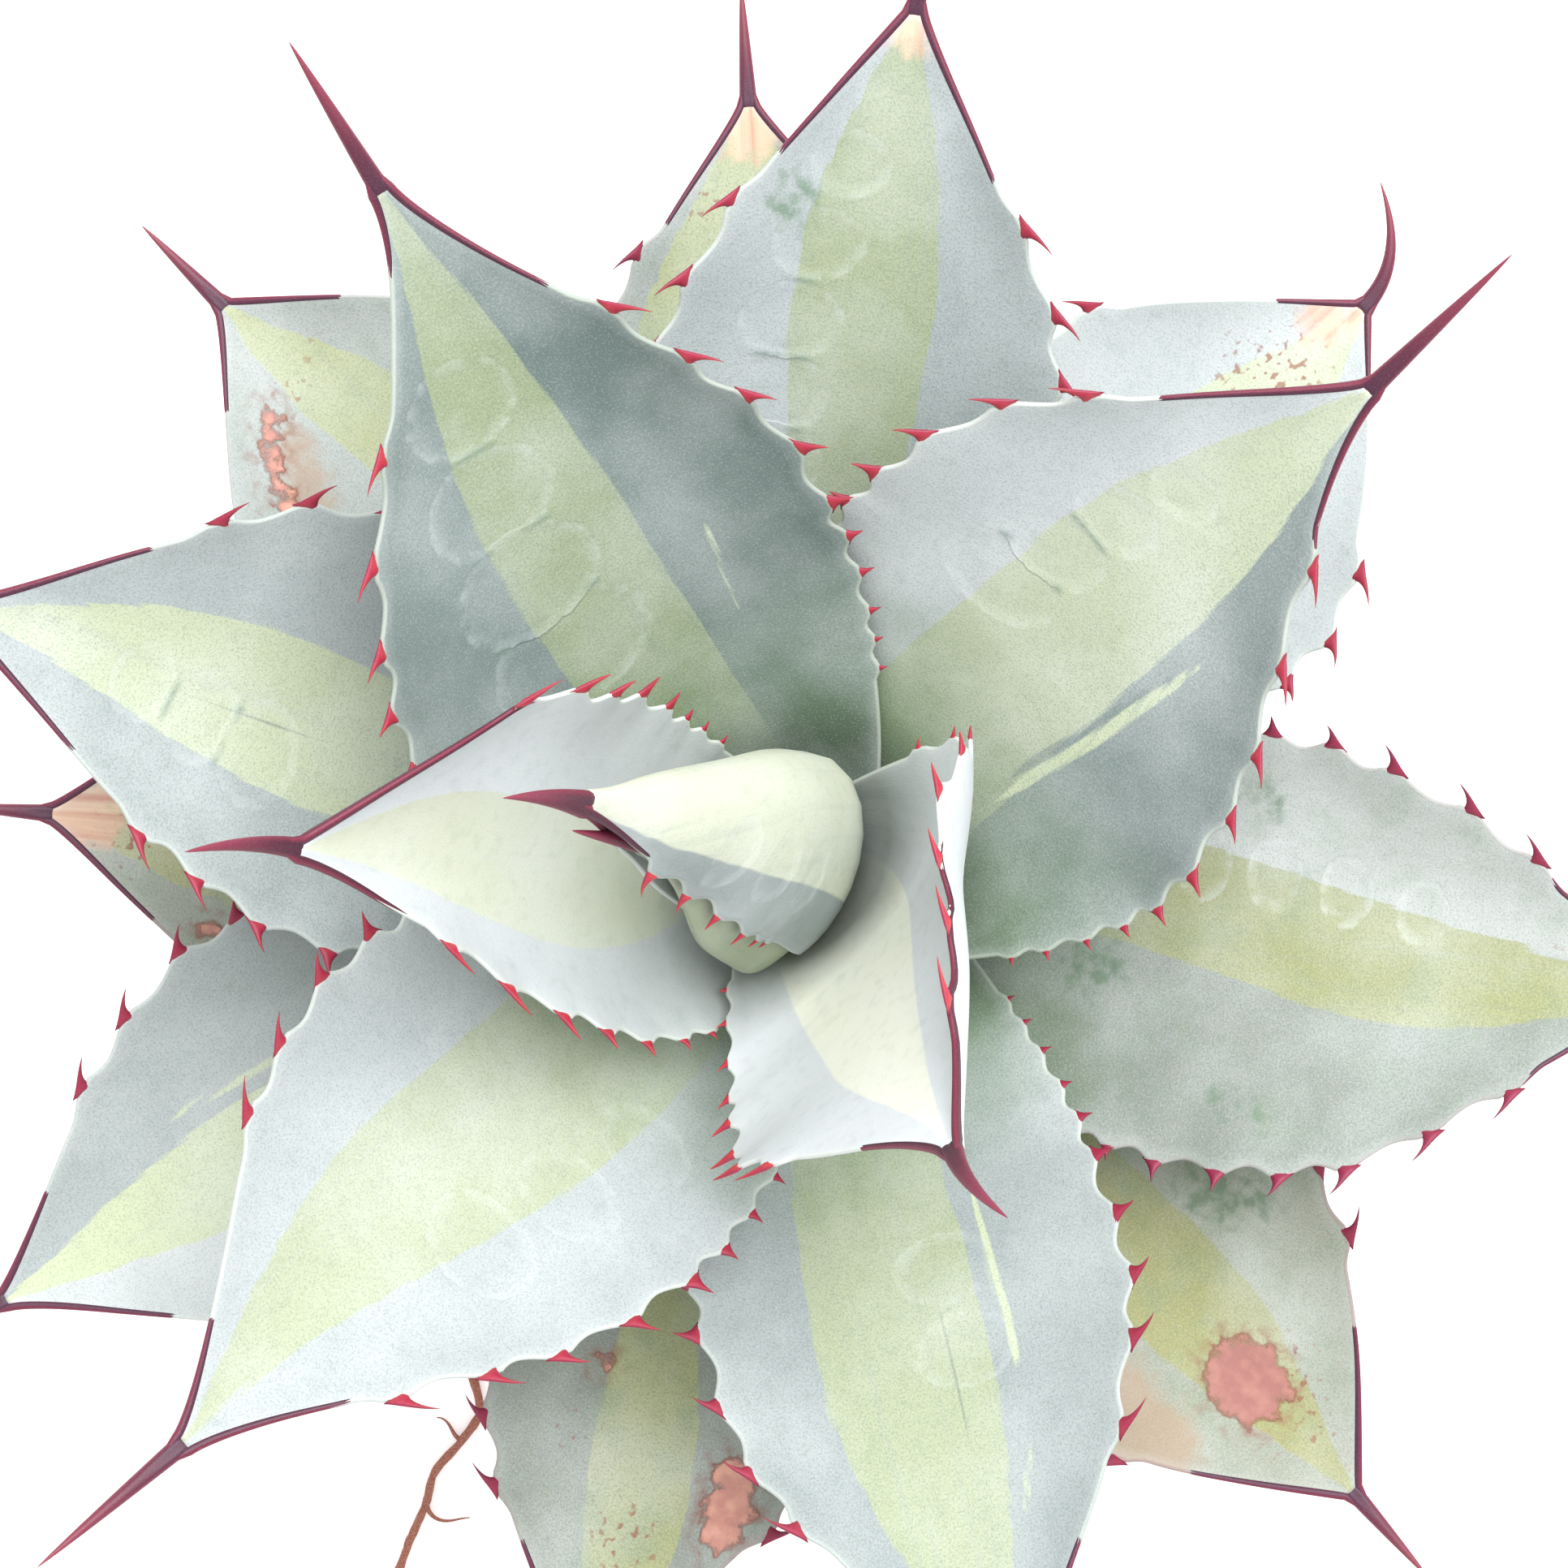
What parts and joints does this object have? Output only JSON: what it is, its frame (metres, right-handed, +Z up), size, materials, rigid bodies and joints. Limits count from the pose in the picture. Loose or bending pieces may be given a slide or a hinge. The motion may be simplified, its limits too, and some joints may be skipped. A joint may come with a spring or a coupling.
{
  "type": "potted parrys agave",
  "caption": "Rosette of thick grey-green leaves with pale middle stripes, hooked crimson margin teeth and dark end spines, on a short stem in a plain terracotta pot.",
  "frame": {"origin": "middle of the whole plant's spread in plan, on the surface that the pot stands on", "axes": "+Z up along the pot, +Y towards the picture's upper edge and +X towards its right edge"},
  "size_m": [0.3308, 0.3296, 0.3021],
  "materials": {
    "leaf": "matt, with a waxy bloom, pale yellow-green stripe down the middle",
    "horn": "semi-gloss mahogany horn",
    "stem": "dry fibrous skin with pale leaf scars",
    "root": "dry brown skin",
    "soil": "gritty potting mix with a crumbly surface",
    "terracotta": "unglazed fired clay"
  },
  "bodies": {
    "root": {"pot": "terracotta", "soil": "soil", "root": "root", "stem": "stem", "heart_inner": "leaf", "spine_heart_inner": "horn", "heart_outer": "leaf", "spine_heart_outer": "horn", "leaf_01": "leaf", "leaf_02": "leaf", "leaf_03": "leaf", "leaf_04": "leaf", "leaf_05": "leaf", "leaf_06": "leaf", "leaf_07": "leaf", "leaf_08": "leaf", "leaf_09": "leaf", "leaf_10": "leaf", "leaf_11": "leaf", "leaf_12": "leaf", "leaf_13": "leaf", "leaf_14": "leaf", "leaf_15": "leaf", "leaf_16": "leaf", "spine_01": "horn", "spine_02": "horn", "spine_03": "horn", "spine_04": "horn", "spine_05": "horn", "spine_06": "horn", "spine_07": "horn", "spine_08": "horn", "spine_09": "horn", "spine_10": "horn", "spine_11": "horn", "spine_12": "horn", "spine_13": "horn", "spine_14": "horn", "spine_15": "horn", "spine_16": "horn"}
  },
  "joints": []
}
